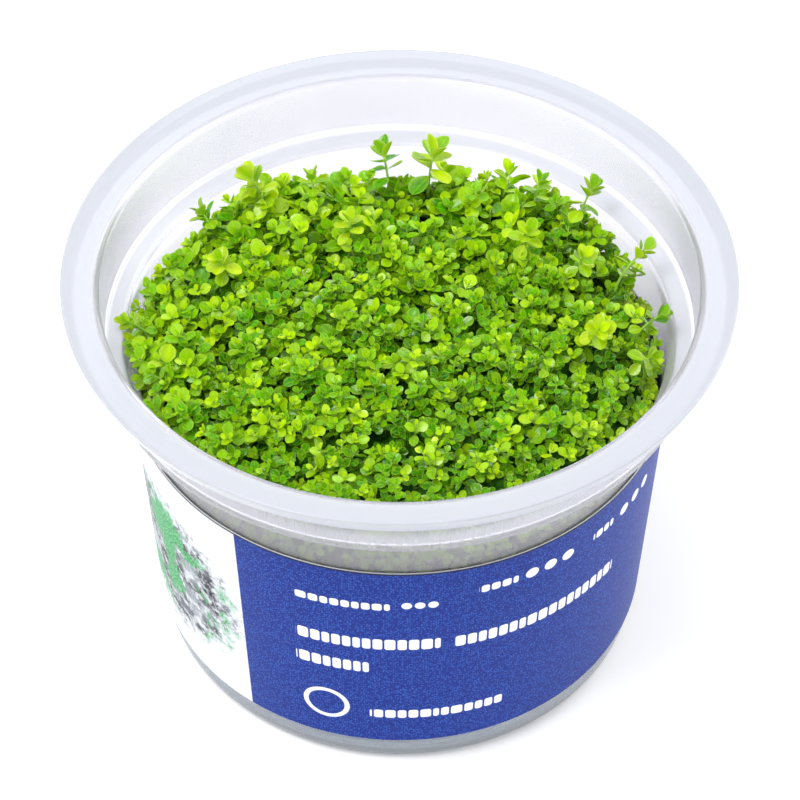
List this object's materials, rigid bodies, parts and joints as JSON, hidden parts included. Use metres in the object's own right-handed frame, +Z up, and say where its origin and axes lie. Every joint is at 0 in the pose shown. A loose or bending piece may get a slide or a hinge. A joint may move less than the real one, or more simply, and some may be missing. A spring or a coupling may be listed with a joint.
{
  "type": "potted dwarf baby tears aquarium plant",
  "caption": "Carpet of tiny round bright green leaves with taller leafy sprigs, growing on jelly in a flanged translucent plastic cup with a blue and white label",
  "frame": {"origin": "middle of the cup's base, on the surface it stands on", "axes": "+Z up, the cup's axis; the label's front towards -Y; +X to the right as seen from the front"},
  "size_m": [0.1, 0.1, 0.0695],
  "materials": {
    "clear_plastic": "satin",
    "label": "satin",
    "jelly": "gloss",
    "carpet_leaves": "satin",
    "sprig_leaves": "satin"
  },
  "bodies": {
    "root": {"cup": "clear_plastic", "label": "label", "nutrient_gel": "jelly", "leaf_carpet": "carpet_leaves", "sprig_01": "sprig_leaves", "sprig_02": "sprig_leaves", "sprig_03": "sprig_leaves", "sprig_04": "sprig_leaves", "sprig_05": "sprig_leaves", "sprig_06": "sprig_leaves", "sprig_07": "sprig_leaves", "sprig_08": "sprig_leaves", "sprig_09": "sprig_leaves", "sprig_10": "sprig_leaves", "sprig_11": "sprig_leaves", "sprig_12": "sprig_leaves", "sprig_13": "sprig_leaves", "sprig_14": "sprig_leaves", "sprig_15": "sprig_leaves", "sprig_16": "sprig_leaves"}
  },
  "joints": []
}
